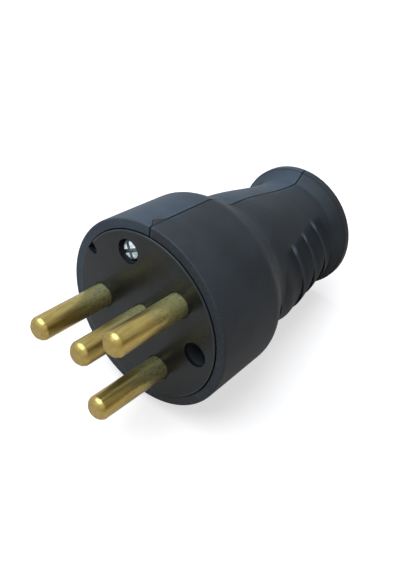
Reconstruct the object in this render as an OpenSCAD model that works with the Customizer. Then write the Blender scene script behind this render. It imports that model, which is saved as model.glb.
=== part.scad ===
// Round four-pin power plug: two moulded half shells that close round a pin
// carrier, with a finger-grip neck and a flared collar at the cable entry.
// The plug stands on its collar. The axis is Z, the pins point up, the joint
// between the half shells lies in the YZ plane and its top edge is at +Y.

/* [Shell] */
// Length of the half shells from the collar's rear face to the front rim
shell_len = 74; // [68:0.5:84]
// Diameter of the body at the front rim
body_d = 56.2; // [55:0.1:60]
// Diameter lost to draft between the front rim and the shoulder
body_draft = 1; // [0:0.1:2]
// Thickness of the moulded wall
wall = 2.7; // [2:0.1:3]
// Width of the joint line between the half shells
seam_gap = 0.2; // [0.1:0.05:0.4]

/* [Shoulder and neck] */
// Distance from the front rim to the start of the shoulder
shoulder_start = 23; // [22:0.5:24]
// Length of the shoulder
shoulder_len = 12; // [11:0.5:14]
// Diameter of the neck at the foot of the shoulder
neck_d = 44.2; // [43.4:0.2:46]
// Diameter of the neck where it meets the collar
neck_rear_d = 35; // [34.6:0.2:37]

/* [Collar] */
// Diameter of the collar
collar_d = 41.4; // [40.8:0.2:44]
// Thickness of the collar's rim
collar_t = 2.2; // [1.8:0.1:2.6]
// Length of the flare that joins the neck to the collar
flare_len = 3.1; // [2.6:0.1:3.6]

/* [Finger grips] */
// Number of grip ridges on each side of the neck
ridge_count = 3; // [1:1:3]
// Distance from the front rim to the first ridge, at the side of the neck
ridge_start = 46; // [45:0.5:47]
// Spacing of the ridges along the neck
ridge_pitch = 8; // [7:0.1:8.2]
// Diameter over the crests of the first ridge
ridge_d = 44.4; // [44:0.1:45]
// Diameter lost from one ridge's crest to the next
ridge_fall = 2.4; // [2:0.1:2.6]
// Height of a ridge's front edge over the foot of the slope before it
ridge_step = 0.4; // [0.2:0.1:0.6]
// Shift of a ridge's centre, as a share of its height, that fades out its ends
ridge_fade = 2.2; // [1.8:0.1:3]
// Height of the smooth swell between the shoulder and the first ridge
swell = 0.9; // [0.5:0.1:1.2]
// Shift of the swell's centre towards its side, that fades out its ends
swell_shift = 3; // [2.4:0.1:3.6]
// Drop of the swell's centre below the side of the neck
swell_drop = 2.2; // [1.6:0.1:2.4]
// Drop of the ridges' centres below the side of the neck
ridge_drop = 1.1; // [0.6:0.1:1.6]
// Reach of the ridges above the side of the neck
ridge_up = 12.8; // [11:0.1:14]
// Reach of the ridges below the side of the neck
ridge_down = 15.5; // [14:0.1:16]
// Slant of the right half's ridges, in degrees
tilt_right = 15; // [10:0.5:16]
// Slant of the left half's ridges, in degrees
tilt_left = 4; // [0:0.5:16]

/* [Joint tongue] */
// Reach of the locating tongue across the joint
tongue_w = 2; // [1.4:0.1:2.4]
// Length of the tongue along the joint
tongue_len = 5.4; // [4.6:0.1:6]

/* [Carrier] */
// Diameter of the carrier's front disc
disc_d = 50; // [49:0.1:50.4]
// Gap all round between the disc and the shell
disc_gap = 0.3; // [0.2:0.05:0.4]
// Height of the disc's face above the shell's rim
face_proud = 0.5; // [0:0.1:1]
// Thickness of the front disc
disc_t = 8; // [7:0.5:10]
// Diameter of the hub behind the disc
hub_d = 44; // [43:0.2:45]
// Thickness of the hub
hub_t = 8; // [7:0.5:9]
// Thickness of the plate that traps the pins
retainer_t = 4; // [3:0.5:5]
// Angle of the key notch in the disc's edge
notch_ang = 149; // [145:1:153]
// Width of the key notch at the disc's edge
notch_w = 3.7; // [3:0.1:4.5]
// Depth of the key notch
notch_depth = 3.1; // [2.4:0.1:3.5]

/* [Pins] */
// Diameter of each contact pin
pin_d = 6.9; // [6.4:0.1:7.4]
// Length of each pin in front of the disc's face
pin_len = 24; // [20:0.5:28]
// Radius of the circle that the outer pins stand on
pin_circle_r = 15.7; // [15.2:0.1:16]
// Angle of the pin on the left of the face
pin_left_ang = 184.5; // [180:0.5:188]
// Angle of the pin on the right of the face
pin_right_ang = 41.5; // [38:0.5:45]
// Angle of the pin at the bottom of the face
pin_bottom_ang = 295.4; // [292:0.2:299]
// Diameter of the flange that holds each pin in the hub
flange_d = 10.4; // [9.8:0.1:11]
// Thickness of that flange
flange_t = 2; // [1.5:0.1:3]
// Diameter of the terminal barrel behind the flange
barrel_d = 8.4; // [8:0.1:9]
// Length of the barrel behind the retainer plate
barrel_len = 10.5; // [9:0.5:11]
// Diameter of the wire hole in the barrel
wire_d = 4.6; // [4:0.1:5]

/* [Face screws] */
// Radius of the circle that the three screws stand on
screw_circle_r = 18.9; // [18.7:0.1:19.1]
// Angle of the first screw
screw_ang = 111; // [108:0.5:114]
// Angle from one screw to the next
screw_step = -117; // [-120:0.5:-115]
// Diameter of the access holes in the face
access_d = 7.2; // [6.8:0.1:7.4]
// Depth of the first access hole, where the screw head shows
shallow_seat = 3.2; // [2.8:0.1:4]
// Depth of the other two access holes
deep_seat = 11; // [9:0.5:12]
// Thread diameter of the face screws
screw_d = 3; // [2.5:0.1:3.2]
// Head diameter of the face screws
head_d = 5.6; // [5:0.1:6]
// Head height of the face screws
head_h = 2; // [1.6:0.1:2.4]
// Side of the square washers
washer_side = 4.9; // [4.6:0.1:5]
// Thickness of the washers
washer_t = 0.6; // [0.4:0.1:0.8]
// Width across flats of the face screws' nuts
nut_af = 5.5; // [5:0.1:6]
// Thickness of those nuts
nut_t = 2.4; // [2:0.1:2.8]

/* [Terminal screws] */
// Thread diameter of the terminal screws
term_d = 4; // [3.5:0.1:4.2]
// Head diameter of the terminal screws
term_head_d = 6; // [5.5:0.1:6.5]
// Head height of the terminal screws
term_head_h = 2; // [1.6:0.1:2.4]

/* [Cable entry] */
// Diameter of the cable hole
cable_d = 15; // [12:0.2:15.4]
// Diameter of the rubber bush in the collar
bush_d = 24; // [23:0.2:25]
// Length of the bush
bush_len = 7.5; // [7:0.1:8.5]
// Thickness of the cable clamp's strap
strap_t = 1.8; // [1.4:0.1:2]
// Width of the strap along the cable
strap_w = 5.5; // [5:0.1:6]
// Distance of each clamp screw from the cable's axis
clamp_screw_y = 12.4; // [12.2:0.1:12.6]
// Distance of each shell screw from the cable's axis
shell_screw_y = 11; // [10.8:0.1:11.4]
// Thread diameter of the clamp screws and shell screws
cross_d = 3; // [2.6:0.1:3.2]
// Head diameter of the clamp screws and shell screws
cross_head_d = 5; // [4.6:0.1:5.2]
// Head height of the clamp screws and shell screws
cross_head_h = 2.2; // [1.8:0.1:2.6]
// Diameter of the brass inserts that those screws enter
insert_d = 4.4; // [4.2:0.1:4.6]
// Length of those inserts
insert_len = 7; // [6:0.5:8]

/* [Hidden] */

$fn = 96;
eps = 0.01;
far = 100;

// Fits
slide_gap = 0.15;        // a pin, plate or bush in its seat
thread_gap = 0.05;       // a thread in its tapped hole
pass_gap = 0.4;          // a screw through a clear hole, on the diameter
bottom_gap = 0.3;        // a lug behind the retainer plate
pin_shoulder = 0.2;      // a pin's seat beyond its shank, on the radius

// Levels along the axis
rim_z = shell_len;
face_z = rim_z + face_proud;
disc_back_z = face_z - disc_t;
hub_back_z = disc_back_z - hub_t;
retainer_back_z = hub_back_z - retainer_t;
barrel_back_z = retainer_back_z - barrel_len;
shoulder_z = rim_z - shoulder_start;
neck_z = shoulder_z - shoulder_len;
flare_z = collar_t + flare_len;

// Radii
body_r = body_d / 2;
body_rear_r = (body_d - body_draft) / 2;
neck_r = neck_d / 2;
neck_rear_r = neck_rear_d / 2;
collar_r = collar_d / 2;
pin_seat_r = pin_d / 2 + pin_shoulder;
pocket_r = disc_d / 2 + disc_gap;
ledge_r = hub_d / 2 + slide_gap;
rim_round = 0.5;
tongue_top = 0.8;

// Inside of the shell
ledge_t = 2.5;
cavity_r = body_rear_r - wall;
cavity_foot_r = neck_r - wall;
bulkhead_z = 24;
cavity_rear_r = neck_radius(bulkhead_z) - wall;

// Lugs that take the face screws
lug_r = nut_af / 2 + 1.6;
lug_top_z = retainer_back_z - bottom_gap;
lug_back_z = lug_top_z - 7;
nut_top_z = lug_back_z + nut_t + 0.4;

// Cable clamp and the screws through the joint
clamp_z = bush_len + 0.8 + strap_w / 2;
shell_screw_z = bulkhead_z - 5;
channel_r = cable_d / 2 + 0.3;
strap_ear = cross_head_d / 2 + 0.2;
screw_seat_x = -5.5;
screw_well_d = cross_head_d + 2 * pass_gap;

// Smooth S-shaped step from 0 to 1
function ease(t) = t * t * (3 - 2 * t);
// S-shaped run from [a, za] to [b, zb] in equal steps
function ease_run(a, za, b, zb, steps) =
    [for (i = [0 : steps]) [a + (b - a) * ease(i / steps), za + (zb - za) * i / steps]];
// Points of an arc round [cx, cy]
function arc(cx, cy, r, a0, a1, steps) =
    [for (i = [0 : steps]) let (a = a0 + (a1 - a0) * i / steps) [cx + r * cos(a), cy + r * sin(a)]];
// Radius of the plain neck at a height
function neck_radius(z) =
    neck_r + (neck_rear_r - neck_r) * ease(min(1, (neck_z - z) / (neck_z - flare_z)));

function pin_angle(name) =
    name == "left" ? pin_left_ang : name == "right" ? pin_right_ang : pin_bottom_ang;
function screw_angle(i) = screw_ang + (i - 1) * screw_step;
function seat_depth(i) = i == 1 ? shallow_seat : deep_seat;

module at_pin(name) {
    if (name == "centre") children();
    else rotate(pin_angle(name)) translate([pin_circle_r, 0, 0]) children();
}

module at_screw(i) {
    rotate(screw_angle(i)) translate([screw_circle_r, 0, 0]) children();
}

// ---- Shell ----

// Body, shoulder, neck and collar, turned about the axis
module shell_body() {
    rotate_extrude()
        polygon(concat(
            [[0, rim_z]],
            arc(body_r - rim_round, rim_z - rim_round, rim_round, 90, 0, 4),
            ease_run(body_rear_r, shoulder_z, neck_r, neck_z, 14),
            ease_run(neck_r, neck_z, neck_rear_r, flare_z, 12),
            [for (t = [1 : 6]) [neck_rear_r + (collar_r - rim_round - neck_rear_r) * pow(t / 6, 1.2),
                                flare_z - flare_len * t / 6]],
            arc(collar_r - rim_round, collar_t - rim_round, rim_round, 90, 0, 3),
            [[collar_r, 0], [0, 0]]));
}

// Slanted ring whose outline runs back from its front face at the height.
// Its centre is moved aside by the shift, so that it fades out round the neck.
module grip_ring(z, shift, drop, tilt, outline) {
    foot_r = min([for (p = outline) p[0]]) - 2;
    translate([shift, -drop, z])
        rotate([tilt, 0, 0])
            rotate_extrude()
                translate([-shift, 0])
                    polygon(concat([[foot_r, 0]], outline, [[foot_r, outline[len(outline) - 1][1]]]));
}

// Slope that runs level at its crest, then falls to its foot
function slope(crest, foot, start, run, power) =
    [for (t = [0 : 8]) [crest - (crest - foot) * pow(t / 8, power), -start - run * t / 8]];
function ridge_z(i) = rim_z - ridge_start - i * ridge_pitch;
function crest_r(i) = (ridge_d - i * ridge_fall) / 2;

// Ridge with a sharp front edge, and a slope that ends before the next ridge
module ridge(i, tilt) {
    z = ridge_z(i);
    last = i == ridge_count - 1;
    foot = last ? neck_radius(z - ridge_pitch) - 0.4 : crest_r(i + 1) - ridge_step;
    grip_ring(z, ridge_fade * (crest_r(i) - neck_radius(z)), ridge_drop, tilt,
              slope(crest_r(i), foot, 0, last ? ridge_pitch - 0.6 : ridge_pitch, 1.8));
}

// Smooth swell between the foot of the shoulder and the first ridge
module grip_swell(tilt) {
    run = neck_z - ridge_z(0);
    crest = neck_r + swell;
    grip_ring(neck_z, swell_shift, swell_drop, tilt,
              concat(ease_run(neck_r, 0, crest, -0.4 * run, 5),
                     slope(crest, crest_r(0) - ridge_step, 0.4 * run, 0.6 * run, 1.8)));
}

// Grip on the +X side: the swell, then the ridges
module grip(tilt) {
    intersection() {
        union() {
            grip_swell(tilt);
            for (i = [0 : ridge_count - 1]) ridge(i, tilt);
        }
        translate([0, -ridge_down, 0]) cube([far, ridge_up + ridge_down, far]);
    }
}

// Everything hollow inside both half shells
module shell_cavity() {
    rotate_extrude()
        polygon(concat(
            [[0, rim_z + 1], [pocket_r, rim_z + 1],
             [pocket_r, disc_back_z], [ledge_r, disc_back_z],
             [ledge_r, disc_back_z - ledge_t], [cavity_r, disc_back_z - ledge_t]],
            ease_run(cavity_r, shoulder_z, cavity_foot_r, neck_z, 8),
            [[cavity_rear_r, bulkhead_z], [0, bulkhead_z]]));
    translate([0, 0, -1]) cylinder(h = bulkhead_z + 2, r = channel_r);
    bush_seat();
}

// Seat of the rubber bush, with the rib that holds it
module bush_seat() {
    difference() {
        translate([0, 0, -1]) cylinder(h = bush_len + 1 + slide_gap, r = bush_d / 2 + slide_gap);
        bush_rib(slide_gap);
    }
}

// Rib of the shell that sits in the bush's groove
module bush_rib(gap) {
    translate([0, 0, bush_len / 3 + gap])
        difference() {
            cylinder(h = bush_len / 3 - 2 * gap, r = bush_d / 2 + 1);
            translate([0, 0, -1]) cylinder(h = bush_len, r = bush_d / 2 - 1.5 + gap);
        }
}

// Lug behind a face screw, joined to the wall
module lug(i) {
    intersection() {
        at_screw(i)
            difference() {
                translate([0, 0, lug_back_z]) union() {
                    cylinder(h = lug_top_z - lug_back_z, r = lug_r);
                    translate([0, -lug_r, 0]) cube([far, 2 * lug_r, lug_top_z - lug_back_z]);
                }
                translate([0, 0, lug_back_z - 1])
                    cylinder(h = far, d = screw_d + pass_gap);
                translate([0, 0, lug_back_z - 1])
                    cylinder(h = nut_top_z - lug_back_z + 1,
                             d = (nut_af + 2 * slide_gap) / cos(30), $fn = 6);
            }
        cylinder(h = far, r = cavity_r + 0.5);
    }
}

// Key on the pocket's wall that enters the carrier's notch
module key_rib() {
    rotate(notch_ang)
        translate([pocket_r - notch_depth + 2 * slide_gap, -notch_w / 4, disc_back_z - 1])
            cube([notch_depth + 1, notch_w / 2, disc_t / 2 + 1]);
}

// Locating tongue near the rim; with a gap, the nick that takes it
module tongue(gap) {
    top = tongue_top - 1.6 * gap;
    foot = tongue_top + tongue_len + 1.6 * gap;
    translate([0, body_rear_r - wall - 1 - gap, rim_z])
        rotate([-90, 0, 0])
            linear_extrude(height = wall + 4)
                polygon([[1, top], [0, top],
                         [-tongue_w - gap, tongue_top + 0.43 * tongue_len],
                         [-tongue_w / 2 - gap, tongue_top + 0.67 * tongue_len + gap],
                         [0, foot], [1, foot]]);
}

// Half space on the +X side of the joint
module half_space() {
    translate([seam_gap / 2, -far, -far]) cube([far, 2 * far, 2 * far]);
}

module shell_blank() {
    difference() {
        union() {
            shell_body();
            grip(tilt_right);
            mirror([1, 0, 0]) grip(-tilt_left);
        }
        shell_cavity();
    }
}

module insert_holes() {
    for (s = [-1, 1]) {
        translate([0, s * shell_screw_y, shell_screw_z])
            rotate([0, 90, 0]) cylinder(h = insert_len + 1, d = insert_d + 2 * thread_gap);
        translate([0, s * clamp_screw_y, clamp_z])
            rotate([0, 90, 0]) cylinder(h = insert_len + 1, d = insert_d + 2 * thread_gap);
    }
}

module shell_right() {
    color([0.20, 0.22, 0.24])
        difference() {
            intersection() {
                union() {
                    shell_blank();
                    lug(2);
                }
                union() {
                    half_space();
                    tongue(0);
                }
            }
            rotate(180) tongue(slide_gap);
            insert_holes();
        }
}

// Room in the left half for the strap and its screws
module clamp_pocket() {
    translate([0, 0, clamp_z - strap_w / 2 - 0.4])
        linear_extrude(height = strap_w + 0.8) {
            circle(r = channel_r + strap_t + 0.7);
            translate([-strap_t - cross_head_h - 1.4, -clamp_screw_y - strap_ear - 0.2])
                square([strap_t + cross_head_h + 2, 2 * (clamp_screw_y + strap_ear + 0.2)]);
        }
}

module shell_screw_holes() {
    for (s = [-1, 1])
        translate([0, s * shell_screw_y, shell_screw_z])
            rotate([0, -90, 0]) {
                translate([0, 0, -1]) cylinder(h = far, d = cross_d + pass_gap);
                translate([0, 0, -screw_seat_x]) cylinder(h = far, d = screw_well_d);
            }
}

module shell_left() {
    color([0.22, 0.24, 0.26])
        difference() {
            intersection() {
                union() {
                    shell_blank();
                    lug(1);
                    lug(3);
                    key_rib();
                }
                rotate(180) union() {
                    half_space();
                    tongue(0);
                }
            }
            tongue(slide_gap);
            clamp_pocket();
            shell_screw_holes();
        }
}

// ---- Pin carrier and retainer ----

module notch() {
    rotate(notch_ang)
        translate([0, 0, disc_back_z - 1])
            linear_extrude(height = disc_t + 2)
                polygon(concat(
                    [[disc_d / 2 + 1, notch_w / 2 + 0.1]],
                    arc(disc_d / 2 - notch_depth + notch_w / 3, 0, notch_w / 3, 90, 270, 12),
                    [[disc_d / 2 + 1, -notch_w / 2 - 0.1]]));
}

module pin_carrier() {
    color([0.19, 0.20, 0.19])
        difference() {
            union() {
                rotate_extrude()
                    polygon(concat([[0, disc_back_z], [disc_d / 2, disc_back_z]],
                                   arc(disc_d / 2 - 0.3, face_z - 0.3, 0.3, 0, 90, 4),
                                   [[0, face_z]]));
                translate([0, 0, hub_back_z]) cylinder(h = hub_t + 1, d = hub_d);
            }
            notch();
            for (name = ["left", "right", "bottom", "centre"])
                at_pin(name) {
                    translate([0, 0, hub_back_z - 1]) cylinder(h = far, r = pin_seat_r + slide_gap);
                    translate([0, 0, hub_back_z - 1])
                        cylinder(h = flange_t + 1 + slide_gap, d = flange_d + 2 * slide_gap);
                }
            for (i = [1 : 3])
                at_screw(i) {
                    translate([0, 0, hub_back_z - 1]) cylinder(h = far, d = screw_d + pass_gap);
                    translate([0, 0, face_z - seat_depth(i)]) cylinder(h = far, d = access_d);
                }
        }
}

module pin_retainer() {
    color([0.16, 0.16, 0.15])
        difference() {
            translate([0, 0, retainer_back_z]) cylinder(h = retainer_t, d = hub_d);
            for (name = ["left", "right", "bottom", "centre"])
                at_pin(name)
                    translate([0, 0, retainer_back_z - 1])
                        cylinder(h = far, d = barrel_d + 2 * slide_gap);
            for (i = [1 : 3])
                at_screw(i)
                    translate([0, 0, retainer_back_z - 1]) cylinder(h = far, d = screw_d + pass_gap);
        }
}

// ---- Pins and terminal screws ----

// Height of the terminal screws in the barrels
term_z = retainer_back_z - barrel_len / 2;
// Distance of a terminal screw's head from the barrel's axis
term_seat = barrel_d / 2 + 0.2;

module pin(name) {
    tip_z = face_z + pin_len;
    tip_flat_r = pin_d / 2 - 1.1;
    color([0.72, 0.63, 0.38])
        at_pin(name)
            difference() {
                rotate_extrude()
                    polygon([[0, barrel_back_z], [barrel_d / 2 - 0.4, barrel_back_z],
                             [barrel_d / 2, barrel_back_z + 0.4], [barrel_d / 2, hub_back_z],
                             [flange_d / 2, hub_back_z], [flange_d / 2, hub_back_z + flange_t],
                             [pin_seat_r, hub_back_z + flange_t], [pin_seat_r, face_z],
                             [pin_d / 2, face_z], [pin_d / 2, tip_z - 1.5],
                             [pin_d / 2 - 0.35, tip_z - 0.7], [tip_flat_r, tip_z], [0, tip_z]]);
                translate([0, 0, barrel_back_z - 1]) cylinder(h = barrel_len, d = wire_d);
                terminal_axis(name) cylinder(h = far, d = term_d + 2 * thread_gap);
            }
}

// Frame of a terminal screw: out from the plug's axis, or straight up at the centre
module terminal_axis(name) {
    translate([0, 0, term_z])
        rotate(name == "centre" ? 90 : 0)
            rotate([0, 90, 0]) children();
}

module terminal_screw(name) {
    color([0.72, 0.72, 0.70])
        at_pin(name)
            terminal_axis(name)
                difference() {
                    union() {
                        translate([0, 0, wire_d / 2 - 0.5])
                            cylinder(h = term_seat - wire_d / 2 + 0.6, d = term_d);
                        translate([0, 0, term_seat]) cylinder(h = term_head_h, d = term_head_d);
                    }
                    translate([-far / 2, -0.5, term_seat + term_head_h - 0.9])
                        cube([far, 1, far]);
                }
}

// ---- Face screws ----

module face_screw(i) {
    seat = face_z - seat_depth(i) + washer_t;
    dome_r = head_d / 2;
    color([0.80, 0.82, 0.84])
        at_screw(i)
            difference() {
                union() {
                    translate([0, 0, lug_back_z]) cylinder(h = seat - lug_back_z + eps, d = screw_d - 0.1);
                    rotate_extrude()
                        polygon([[0, seat], [dome_r, seat], [dome_r, seat + head_h * 0.6],
                                 [dome_r * 0.93, seat + head_h * 0.8],
                                 [dome_r * 0.72, seat + head_h * 0.95], [0, seat + head_h]]);
                }
                rotate(8)
                    for (a = [0, 90])
                        rotate(a)
                            translate([-far / 2, -0.55, seat + head_h * 0.45]) cube([far, 1.1, far]);
            }
}

module face_washer(i) {
    color([0.75, 0.77, 0.78])
        at_screw(i)
            translate([0, 0, face_z - seat_depth(i)])
                difference() {
                    translate([-washer_side / 2, -washer_side / 2, 0])
                        cube([washer_side, washer_side, washer_t]);
                    translate([0, 0, -1]) cylinder(h = far, d = screw_d + 0.2);
                }
}

module face_nut(i) {
    color([0.75, 0.77, 0.78])
        at_screw(i)
            translate([0, 0, nut_top_z - nut_t])
                difference() {
                    cylinder(h = nut_t, d = nut_af / cos(30), $fn = 6);
                    translate([0, 0, -1]) cylinder(h = far, d = screw_d - 0.1 + 2 * thread_gap);
                }
}

// ---- Cable clamp ----

module clamp_strap() {
    color([0.75, 0.77, 0.78])
        translate([0, 0, clamp_z - strap_w / 2])
            difference() {
                linear_extrude(height = strap_w)
                    intersection() {
                        difference() {
                            union() {
                                circle(r = channel_r + strap_t);
                                translate([-strap_t - 0.3, -clamp_screw_y - strap_ear])
                                    square([strap_t, 2 * (clamp_screw_y + strap_ear)]);
                            }
                            circle(r = channel_r);
                        }
                        translate([-far, -far]) square([far - 0.3, 2 * far]);
                    }
                for (s = [-1, 1])
                    translate([0, s * clamp_screw_y, strap_w / 2])
                        rotate([0, -90, 0])
                            translate([0, 0, -1]) cylinder(h = far, d = cross_d + pass_gap);
            }
}

// Slotted screw along X with its head towards -X
module cross_screw(y, z, seat_x) {
    color([0.75, 0.77, 0.78])
        translate([seat_x, y, z])
            rotate([0, 90, 0])
                difference() {
                    union() {
                        cylinder(h = insert_len - seat_x - 1, d = cross_d - 0.1);
                        translate([0, 0, -cross_head_h]) cylinder(h = cross_head_h, d = cross_head_d);
                    }
                    translate([-far / 2, -0.4, -cross_head_h - far + 0.9]) cube([far, 0.8, far]);
                }
}

module brass_insert(y, z) {
    color([0.78, 0.66, 0.36])
        translate([seam_gap / 2, y, z])
            rotate([0, 90, 0])
                difference() {
                    cylinder(h = insert_len, d = insert_d);
                    translate([0, 0, -1]) cylinder(h = far, d = cross_d - 0.1 + 2 * thread_gap);
                }
}

// ---- Rubber bush ----

module cable_bush() {
    color([0.13, 0.13, 0.13])
        difference() {
            cylinder(h = bush_len, d = bush_d);
            bush_rib(0);
            translate([0, 0, -1]) cylinder(h = far, d = cable_d);
        }
}

shell_right();
shell_left();
pin_carrier();
pin_retainer();
for (name = ["left", "right", "bottom", "centre"]) {
    pin(name);
    terminal_screw(name);
}
for (i = [1 : 3]) {
    face_screw(i);
    face_washer(i);
    face_nut(i);
}
clamp_strap();
for (end = [["upper", 1], ["lower", -1]]) {
    cross_screw(end[1] * clamp_screw_y, clamp_z, -strap_t - 0.3);
    brass_insert(end[1] * clamp_screw_y, clamp_z);
    cross_screw(end[1] * shell_screw_y, shell_screw_z, screw_seat_x);
    brass_insert(end[1] * shell_screw_y, shell_screw_z);
}
cable_bush();
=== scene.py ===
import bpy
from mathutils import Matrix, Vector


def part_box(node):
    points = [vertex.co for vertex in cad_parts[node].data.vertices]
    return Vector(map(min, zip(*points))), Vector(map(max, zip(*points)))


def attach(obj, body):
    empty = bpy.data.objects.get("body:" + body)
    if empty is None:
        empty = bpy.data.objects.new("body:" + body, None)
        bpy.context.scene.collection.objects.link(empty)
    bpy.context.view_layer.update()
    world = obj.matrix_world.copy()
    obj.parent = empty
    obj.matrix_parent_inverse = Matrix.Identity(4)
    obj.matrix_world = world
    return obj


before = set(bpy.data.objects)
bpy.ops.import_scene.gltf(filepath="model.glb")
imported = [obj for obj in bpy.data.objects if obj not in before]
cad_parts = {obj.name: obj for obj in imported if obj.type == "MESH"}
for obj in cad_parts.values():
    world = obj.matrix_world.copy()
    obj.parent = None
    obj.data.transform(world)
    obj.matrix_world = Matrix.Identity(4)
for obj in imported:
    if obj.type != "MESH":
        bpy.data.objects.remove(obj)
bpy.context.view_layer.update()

import math

import bmesh
import bpy
from mathutils import Matrix, Vector

# ---- Half shells ----
# Two black rubbery mouldings that close round the pin carrier. The left half is
# painted lighter and bluer than the right as painted light. Painted shade darkens
# the joint, the grip and, darkest, the foot of its ridges. Painted highlights
# lighten a band beside the joint and the ridges' crests and upper ends, and
# handling has rubbed the front rim paler.


class Value:
    """One output of a shader node, ready for Python arithmetic."""

    def __init__(self, finish, socket):
        self.finish, self.socket = finish, socket

    def maths(self, operation, *values):
        sockets = dict(enumerate(values))
        return self.finish.node("Math", sockets, operation=operation)[0]

    def __add__(self, other): return self.maths("ADD", self, other)
    def __radd__(self, other): return self.maths("ADD", other, self)
    def __sub__(self, other): return self.maths("SUBTRACT", self, other)
    def __rsub__(self, other): return self.maths("SUBTRACT", other, self)
    def __mul__(self, other): return self.maths("MULTIPLY", self, other)
    def __rmul__(self, other): return self.maths("MULTIPLY", other, self)
    def __pow__(self, other): return self.maths("POWER", self, other)
    def __abs__(self): return self.maths("ABSOLUTE", self)

    def between(self, low, high):
        """0 up to the low value, 1 from the high value, smooth in between."""
        sockets = {"Value": self, "From Min": low, "From Max": high}
        return self.finish.node("MapRange", sockets, interpolation_type="SMOOTHSTEP")[0]


class Finish:
    """A finish under construction. node() adds one node and returns its outputs."""

    def __init__(self, owner, **constants):
        owner.use_nodes = True
        self.owner, self.tree = owner, owner.node_tree
        self.shader = self.tree.nodes.get("Principled BSDF")
        for name, value in constants.items():
            self.shader.inputs[name.replace("_", " ")].default_value = value

    def feed(self, socket, value):
        if isinstance(value, Value):
            self.tree.links.new(value.socket, socket)
        else:
            socket.default_value = value

    def node(self, kind, values=None, **settings):
        new = self.tree.nodes.new("ShaderNode" + kind)
        for name, value in settings.items():
            setattr(new, name, value)
        for name, value in (values or {}).items():
            self.feed(new.inputs[name], value)
        return [Value(self, out) for out in new.outputs]

    def place(self):
        """Object coordinates, then X, Y and Z in millimetres."""
        spot = self.node("TexCoord")[object_coordinates]
        x, y, z = self.node("SeparateXYZ", {0: spot})
        return spot, x * millimetres, y * millimetres, z * millimetres

    def stretched(self, spot, share):
        """Coordinates squeezed along the axis, which draw a pattern into streaks."""
        sockets = {0: spot, 1: (1, 1, share)}
        return self.node("VectorMath", sockets, operation="MULTIPLY")[0]

    def noise(self, spot, scale, detail=3, rough=0.55):
        """Cloudy noise; the scale is in patches per metre."""
        return self.node("TexNoise", {"Vector": spot, "Scale": scale, "Detail": detail,
                                      "Roughness": rough})[0]

    def mix(self, amount, low, high):
        """A colour between two colours."""
        sockets = {mix_factor: amount, mix_low: low, mix_high: high}
        return self.node("Mix", sockets, data_type="RGBA")[mixed_colour]

    def bump(self, height, strength, distance, **sockets):
        """A normal that follows small heights; the distance is in metres."""
        return self.node("Bump", {"Height": height, "Strength": strength,
                                  "Distance": distance, **sockets})[0]

    def finish(self, **links):
        """Links the shader's sockets."""
        for socket, value in links.items():
            self.feed(self.shader.inputs[socket.replace("_", " ")], value)

    def coat(self, name, **links):
        """Links the shader's sockets and puts the material on a CAD node."""
        self.finish(**links)
        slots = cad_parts[name].data.materials
        slots.clear()
        slots.append(self.owner)


# Positions of Texture Coordinate's Object output and of Mix's colour sockets.
object_coordinates = 3
mix_factor, mix_low, mix_high, mixed_colour = 0, 6, 7, 2

millimetres = 1000
fine_relief = 0.00003

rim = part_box("shell_right")[1][2] * millimetres
# Near-black for painted shade, a grey for the rubbed rim and painted highlights, dust
# grey, and a paler grey for painted highlights at the ridges' ends.
painted_shade_black = (0.004, 0.005, 0.006, 1)
wear_and_highlight_grey = (0.070, 0.082, 0.095, 1)
fine_dust = (0.085, 0.097, 0.11, 1)
end_highlight_grey = (0.13, 0.145, 0.16, 1)
first_ridge = rim - 46
ridge_count, ridge_pitch, ridge_drop = 3, 8, 1.1
rubber_ior, rubber_shine = 1.45, 0.22
# Shares of painted shade over the grip and at the ridges' feet, and of painted highlights
# on the crests and at their ends.
grip_shade_share, foot_shade_share, crest_highlight_share, end_highlight_share = 0.62, 0.92, 0.4, 0.8

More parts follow.
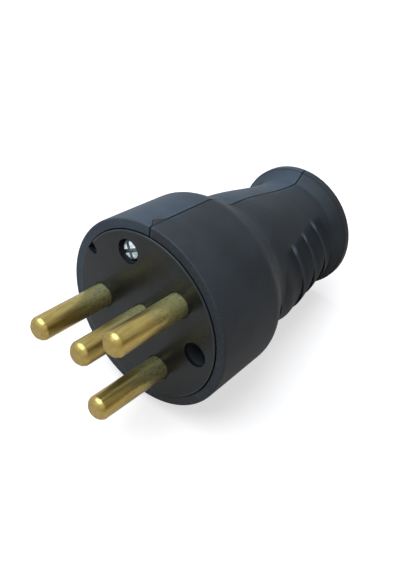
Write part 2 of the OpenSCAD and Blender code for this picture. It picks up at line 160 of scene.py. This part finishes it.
for side, dark, pale, sheen, lean_way, slant in (
        ("shell_right", (0.0215, 0.0213, 0.0215, 1), (0.0290, 0.0290, 0.030, 1),
         0.50, -1, 15),
        # The left half's tones are painted lighter and bluer than the right's: painted
        # light on the lit half.
        ("shell_left", (0.036, 0.041, 0.048, 1), (0.048, 0.055, 0.064, 1),
         0.52, 1, 4)):
    skin = Finish(bpy.data.materials.new(side + "_skin"),
                  IOR=rubber_ior, Specular_IOR_Level=rubber_shine)
    spot, x, y, z = skin.place()
    cloud = skin.noise(spot, 90)
    mottle = skin.noise(spot, 420, 4, 0.6)
    grain = skin.noise(spot, 2600, 2)
    speck = skin.noise(spot, 900, 3, 0.7).between(0.66, 0.76)
    # The joint is painted near-black, wider than its gap: painted shade.
    joint = 1 - abs(x).between(0.16, 0.26 + mottle * 0.5)
    # A band beside the joint is painted paler: a painted highlight on the joint's edge.
    joint_edge_highlight = abs(x).between(0.3, 0.5) * (1 - abs(x).between(0.6, 1.1))
    joint_edge_highlight = joint_edge_highlight * cloud.between(0.4, 0.6)
    worn_rim = z.between(rim - 0.5, rim - 0.1) * grain.between(0.4, 0.7)
    shade = skin.mix(cloud.between(0.35, 0.65), dark, pale)
    shade = skin.mix(speck * 0.3, shade, fine_dust)
    shade = skin.mix(worn_rim * 0.3, shade, wear_and_highlight_grey)
    # Painted highlight beside the joint.
    shade = skin.mix(joint_edge_highlight * 0.3, shade, wear_and_highlight_grey)
    level = z + lean_way * math.tan(math.radians(slant)) * (y + ridge_drop)
    reach = y.between(-17, -14) * (1 - y.between(11.5, 13.5)) * abs(x).between(3, 6)
    # The grip between the ridges is painted darker: painted shade.
    grip = reach * level.between(4, 7)
    grip = grip * (1 - level.between(first_ridge + 1, first_ridge + 7))
    shade = skin.mix(grip * grip_shade_share, shade, painted_shade_black)
    for ridge in range(ridge_count):
        ahead = level - (first_ridge - ridge * ridge_pitch)
        # The foot of each ridge's step is painted near-black: painted shade.
        foot = ahead.between(-0.1, 0.2) * (1 - ahead.between(0.6, 3.8)) * reach
        # Each ridge's crest is painted paler: a painted highlight.
        crest = ahead.between(-2.6, -0.6) * (1 - ahead.between(-0.2, 0.05)) * reach
        shade = skin.mix(crest * crest_highlight_share, shade, wear_and_highlight_grey)
        # The upper end of each crest is painted paler still: a painted highlight.
        ridge_end_highlight = crest * y.between(9.5, 11.5)
        shade = skin.mix(ridge_end_highlight * end_highlight_share, shade, end_highlight_grey)
        shade = skin.mix(foot * foot_shade_share, shade, painted_shade_black)
    # Painted shade along the joint.
    shade = skin.mix(joint * 0.9, shade, painted_shade_black)
    skin.coat(side, Base_Color=shade,
              Roughness=sheen + cloud * 0.12 - speck * 0.08 - worn_rim * 0.1 + grip * 0.2,
              Normal=skin.bump(grain + mottle * 0.6, 0.25, fine_relief))

# ---- Lips of the joint ----
# Thin ribs moulded along both edges of the right half. They cross the joint
# under its surface and keep dust and light out of the plug.

lip_depth, lip_width, lip_reach = 0.0012, 0.0011, 0.00008
lip_root, lip_round = 0.0006, 0.00003
wall_line = ((0.0205, 0.0008), (0.0192, 0.0028), (0.0175, 0.0053), (0.0182, 0.0137),
             (0.0198, 0.0222), (0.0214, 0.0306), (0.0221, 0.0390), (0.0228, 0.0420),
             (0.0248, 0.0450), (0.0269, 0.0480), (0.0276, 0.0510), (0.0277, 0.0650))

rubber_lip = Finish(bpy.data.materials.new("joint_lip_skin"),
                    IOR=rubber_ior, Specular_IOR_Level=rubber_shine)
spot, x, y, z = rubber_lip.place()
film = rubber_lip.noise(spot, 700, 3)
shade = rubber_lip.mix(film, (0.010, 0.010, 0.011, 1), (0.020, 0.021, 0.022, 1))
rubber_lip.finish(Base_Color=shade, Roughness=0.6 + film * 0.15,
                  Normal=rubber_lip.bump(film, 0.2, fine_relief))


def corners(extruded):
    """The vertices among what an extrusion has made."""
    return [part for part in extruded if isinstance(part, bmesh.types.BMVert)]


for side, way in (("upper", 1), ("lower", -1)):
    rib = bmesh.new()
    line = [rib.verts.new((-lip_reach, way * (radius - lip_depth), height))
            for radius, height in wall_line]
    edges = [rib.edges.new(pair) for pair in zip(line, line[1:])]
    strip = bmesh.ops.extrude_edge_only(rib, edges=edges)["geom"]
    bmesh.ops.translate(rib, vec=(0, -way * lip_width, 0), verts=corners(strip))
    block = bmesh.ops.extrude_face_region(rib, geom=rib.faces[:])["geom"]
    bmesh.ops.translate(rib, vec=(lip_reach + lip_root, 0, 0), verts=corners(block))
    bmesh.ops.recalc_face_normals(rib, faces=rib.faces)
    bmesh.ops.bevel(rib, geom=rib.edges[:], offset=lip_round, offset_type="OFFSET",
                    affect="EDGES", segments=1, profile=0.5, material=-1)
    mesh = bpy.data.meshes.new("joint_lip_" + side)
    rib.to_mesh(mesh)
    rib.free()
    mesh.materials.append(rubber_lip.owner)
    lip = bpy.data.objects.new("joint_lip_" + side, mesh)
    bpy.context.collection.objects.link(lip)
    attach(lip, "root")

# ---- Brass inserts ----
# Small turned bushes pressed into the right half. The screws through the joint
# bite into them.


def turned_brass(name):
    """Lathe-turned brass with dark patches where a cloudy film is thickest."""
    brass = Finish(bpy.data.materials.new(name + "_brass"), Metallic=1.0)
    spot, x, y, z = brass.place()
    film = brass.noise(spot, 600, 4)
    patch = film.between(0.4, 0.7)
    shade = brass.mix(patch, (0.50, 0.39, 0.14, 1), (0.28, 0.22, 0.08, 1))
    brass.coat(name, Base_Color=shade,
               Roughness=0.32 + patch * 0.2, Normal=brass.bump(film, 0.15, fine_relief))


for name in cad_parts:
    if "insert" in name:
        turned_brass(name)

# ---- Pin carrier ----
# Pressed black resin with a smooth, slightly polished face that mirrors the
# pins. Fine dust lies on it, the access holes below the face are painted grey
# as dust and painted light, and the disc's edge is painted paler as a painted
# highlight.

disc_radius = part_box("pin_carrier")[1][0] * millimetres
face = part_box("pin_carrier")[1][2] * millimetres
resin_ior = 1.5

resin = Finish(bpy.data.materials.new("carrier_resin"),
               IOR=resin_ior, Specular_IOR_Level=0.26)
spot, x, y, z = resin.place()
radius = (x * x + y * y) ** 0.5
cloud = resin.noise(spot, 120)
grain = resin.noise(spot, 1500, 4, 0.65)
dust = resin.noise(spot, 1900, 3, 0.7).between(0.66, 0.78)
# The disc's edge is painted paler: a painted highlight.
disc_edge_highlight = radius.between(disc_radius - 0.55, disc_radius - 0.25)
disc_edge_highlight = disc_edge_highlight * z.between(face - 0.5, face - 0.1)
shade = resin.mix(cloud.between(0.35, 0.7),
                  (0.0080, 0.0086, 0.0078, 1), (0.0130, 0.0138, 0.0122, 1))
shade = resin.mix(dust * 0.5, shade, (0.07, 0.075, 0.07, 1))
# The walls of the access holes below the face are painted pale grey: dust and painted
# light.
hole_dust_and_light = 1 - z.between(face - 1.6, face - 0.5)
hole_dust_and_light = hole_dust_and_light * (1 - radius.between(disc_radius - 2, disc_radius - 1))
shade = resin.mix(hole_dust_and_light * 0.6, shade, (0.062, 0.060, 0.058, 1))
shade = resin.mix(disc_edge_highlight * 0.28, shade, (0.085, 0.092, 0.092, 1))
resin.coat("pin_carrier", Base_Color=shade, Roughness=0.19 + cloud * 0.12 + dust * 0.2,
           Normal=resin.bump(grain + cloud, 0.12, fine_relief))

# ---- Contact pins ----
# Four rods turned from brass, with a bevelled tip. The sockets have left streaks
# along them. The roots have aged to a dull, mottled olive, and their foot at the
# disc is painted near-black as dirt and painted shade.

root, tip = face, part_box("pin_centre")[1][2] * millimetres
tip_round, aged_share = 0.0006, 0.7
fresh_brass = (0.37, 0.255, 0.070, 1)
pale_brass = (0.50, 0.37, 0.125, 1)
olive = (0.38, 0.34, 0.150, 1)
umber = (0.135, 0.105, 0.045, 1)
# Near-black for dark flecks, and for dirt and painted shade at the pins' feet.
root_dirt_and_shade = (0.012, 0.012, 0.010, 1)

for name in ("pin_left", "pin_right", "pin_bottom", "pin_centre"):
    brass = Finish(bpy.data.materials.new(name + "_brass"), Metallic=1.0)
    spot, x, y, z = brass.place()
    along = brass.stretched(spot, 0.12)
    streak = brass.noise(along, 900, 4, 0.6)
    blotch = brass.noise(brass.stretched(spot, 0.5), 320, 4, 0.65)
    fleck = brass.noise(spot, 1400, 3, 0.7)
    aged = 1 - z.between(root, root + (tip - root) * aged_share)
    stain = blotch.between(0.46, 0.60) * (0.15 + aged * 0.85)
    pit = fleck.between(0.55, 0.64) * aged
    cap = z.between(tip - 1.2, tip - 0.4)
    shade = brass.mix(streak.between(0.35, 0.65), fresh_brass, pale_brass)
    shade = brass.mix(aged * 0.55, shade, olive)
    shade = brass.mix(stain * 0.85, shade, umber)
    shade = brass.mix(pit * 0.7, shade, root_dirt_and_shade)
    shade = brass.mix(cap * 0.5, shade, fresh_brass)
    # The foot of each pin at the disc is painted near-black: dirt and painted shade.
    seat = 1 - z.between(root + 0.03, root + 0.35)
    shade = brass.mix(seat * 0.9, shade, root_dirt_and_shade)
    rounded = brass.node("Bevel", {"Radius": tip_round}, samples=4)[0]
    brass.coat(name, Base_Color=shade, Metallic=1 - aged * (0.4 + stain * 0.3),
               Roughness=0.25 + stain * 0.25 + fleck * 0.1 + seat * 0.4,
               Normal=brass.bump(streak + fleck * 0.4, 0.14, 0.00004, Normal=rounded))

# ---- Retainer plate ----
# The same resin, left rough from the mould, behind the hub. It keeps the pins'
# flanges in their seats.

plate = Finish(bpy.data.materials.new("retainer_resin"),
               IOR=resin_ior, Specular_IOR_Level=0.36)
spot, x, y, z = plate.place()
cloud = plate.noise(spot, 150)
grain = plate.noise(spot, 2200, 3)
shade = plate.mix(cloud.between(0.35, 0.7),
                  (0.016, 0.018, 0.016, 1), (0.030, 0.032, 0.029, 1))
plate.coat("pin_retainer", Base_Color=shade, Roughness=0.5 + cloud * 0.15,
           Normal=plate.bump(grain, 0.25, fine_relief))

# ---- Terminal screws ----
# Zinc-plated steel screws that press the wires into the pins' barrels. The
# plating is bluish, with a dull grey bloom.


def zinc_plate(name, slot_floor=None, slot_top=None):
    """Zinc on steel. Given two heights, the foot of its slots is painted dark: painted
    shade.
    """
    zinc = Finish(bpy.data.materials.new(name + "_zinc"), Metallic=1.0)
    spot, x, y, z = zinc.place()
    bloom = zinc.noise(spot, 520, 4, 0.7)
    scratch = zinc.noise(spot, 1800, 3, 0.65)
    shade = zinc.mix(bloom.between(0.38, 0.66),
                     (0.86, 0.95, 0.98, 1), (0.40, 0.48, 0.53, 1))
    if slot_floor is not None:
        # The foot of the slots is painted dark: painted shade.
        slot_shade = 1 - z.between(slot_floor, slot_top)
        shade = zinc.mix(slot_shade * 0.85, shade, (0.055, 0.085, 0.095, 1))
    zinc.coat(name, Base_Color=shade, Roughness=0.27 + bloom * 0.22,
              Normal=zinc.bump(bloom + scratch * 0.5, 0.2, fine_relief))


for name in ("left", "right", "bottom", "centre"):
    zinc_plate("terminal_screw_" + name)

# ---- Face screws, washers and nuts ----
# Cross-slotted screws with square washers and hexagon nuts pull the carrier
# onto the half shells' lugs. The foot of the screws' slots is painted dark: painted
# shade.

slot_depth, slot_shade_depth = 1.15, 0.6

for number in ("1", "2", "3"):
    head_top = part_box("face_screw_" + number)[1][2] * millimetres
    zinc_plate("face_screw_" + number, head_top - slot_depth, head_top - slot_shade_depth)
    zinc_plate("face_washer_" + number)
    zinc_plate("face_nut_" + number)

# ---- Cable bush ----
# A soft black rubber ring, clipped over the rib in the collar. It is dull and
# a little dusty.

rubber = Finish(bpy.data.materials.new("bush_rubber"),
                IOR=rubber_ior, Specular_IOR_Level=0.3)
spot, x, y, z = rubber.place()
dust = rubber.noise(spot, 800, 5, 0.7)
shade = rubber.mix(dust.between(0.45, 0.75),
                   (0.012, 0.012, 0.013, 1), (0.034, 0.035, 0.037, 1))
rubber.coat("cable_bush", Base_Color=shade, Roughness=0.7 + dust * 0.15,
            Normal=rubber.bump(dust, 0.3, 0.00005))

# ---- Cable clamp ----
# A strap bent from zinc-plated steel and its two screws, which squeeze the
# cable against the right half.

zinc_plate("clamp_strap")
zinc_plate("clamp_screw_upper")
zinc_plate("clamp_screw_lower")

# ---- Screws through the joint ----
# Two screws sunk in wells of the left half hold the shells together.

zinc_plate("shell_screw_upper")
zinc_plate("shell_screw_lower")

# ---- Table ----
# The plug lies on tan card, on the edge of its shoulder and on its collar. A
# glow of its own makes the card white, except in the plug's shadow. It is seen
# from above only, so that it hides nothing from below.

collar_radius, collar_height = 0.0207, 0.001
shoulder_radius, shoulder_height = 0.0276, 0.0525
lean = math.atan2(shoulder_radius - collar_radius, shoulder_height - collar_height)
upward = (0, math.cos(lean), math.sin(lean))
card_half, card_gap = 1.5, 0.0002
card_glow, mirrored_glow = 0.6, 0.3

sheet = bmesh.new()
bmesh.ops.create_grid(sheet, x_segments=1, y_segments=1, size=card_half)
bmesh.ops.rotate(sheet, cent=(0, 0, 0), verts=sheet.verts,
                 matrix=Matrix.Rotation(lean - math.radians(90), 3, "X"))
bmesh.ops.translate(sheet, vec=(0, -collar_radius - card_gap, collar_height),
                    verts=sheet.verts)
table_mesh = bpy.data.meshes.new("table")
sheet.to_mesh(table_mesh)
sheet.free()
table = bpy.data.objects.new("table", table_mesh)
bpy.context.collection.objects.link(table)
table.visible_diffuse = False
table.visible_shadow = False

# Positions of Light Path's outputs and of Geometry's Backfacing.
camera_ray, glossy_ray, transmission_ray = 0, 3, 6
backfacing = 6
white = (1, 1, 1, 1)

card = Finish(bpy.data.materials.new("white_card"))
card.tree.nodes.remove(card.shader)
path = card.node("LightPath")
seen = path[camera_ray] + path[glossy_ray] * mirrored_glow
matt = card.node("BsdfDiffuse", {"Color": (0.58, 0.455, 0.38, 1)})[0]
glow = card.node("Emission", {"Color": white, "Strength": seen * card_glow})[0]
lit = card.node("AddShader", {0: matt, 1: glow})[0]
clear = card.node("BsdfTransparent")[0]
under = card.node("NewGeometry")[backfacing]
card.feed(card.tree.nodes["Material Output"].inputs[0],
          card.node("MixShader", {0: under, 1: lit, 2: clear})[0])
table_mesh.materials.append(card.owner)

# ---- Room and lamps ----
# The camera sees a white room. Its fill on the plug is bluish overhead and dim
# and warm below, and glossy rays see a pale wall above on the left and a dark
# one opposite. A strong bluish lamp hangs above, and a weak one is on the right.

generated_coordinates, dot_product = 0, 1


def toward(way):
    """How far a direction in the room points a given way."""
    sockets = {0: room.node("TexCoord")[generated_coordinates], 1: way}
    return room.node("VectorMath", sockets, operation="DOT_PRODUCT")[dot_product]


room = Finish(bpy.data.worlds.new("room"))
bpy.context.scene.world = room.owner
path = room.node("LightPath")
open_view = path[camera_ray].maths("MAXIMUM", path[camera_ray], path[transmission_ray])
fill = room.mix(toward(upward).between(-0.6, 0.8),
                (0.17, 0.145, 0.10, 1), (0.32, 0.41, 0.54, 1))
mirrored = room.mix(toward((-0.55, 0.75, 0.35)).between(-0.5, 0.5),
                    (0.33, 0.29, 0.23, 1), (0.88, 0.95, 1, 1))
room.feed(room.tree.nodes["Background"].inputs["Color"],
          room.mix(open_view, room.mix(path[glossy_ray], fill, mirrored), white))

for name, aim, strength, spread, tint in (
        ("overhead_lamp", (-0.22, 0.92, 0.32), 4.5, 60, (0.61, 0.81, 1.0)),
        ("side_lamp", (0.75, 0.35, 0.55), 0.20, 60, (1.0, 0.96, 0.90))):
    lamp = bpy.data.objects.new(name, bpy.data.lights.new(name, "SUN"))
    bpy.context.collection.objects.link(lamp)
    lamp.data.energy = strength
    lamp.data.angle = math.radians(spread)
    lamp.data.color = tint
    lamp.rotation_mode = "QUATERNION"
    lamp.rotation_quaternion = Vector(aim).to_track_quat("Z", "Y")

bpy.context.scene.view_settings.view_transform = "Standard"

# ---- Camera ----
# It looks down on the pins from the upper right, about 0.2 m away.

camera = bpy.data.objects.new("camera", bpy.data.cameras.new("camera"))
bpy.context.collection.objects.link(camera)
camera.location = (0.09917, 0.11652, 0.18416)
camera.rotation_euler = tuple(math.radians(a) for a in (-30.794, 40.207, 7.164))
camera.data.lens = 43.453
camera.data.sensor_width = 36
camera.data.clip_start = 0.005
bpy.context.scene.camera = camera
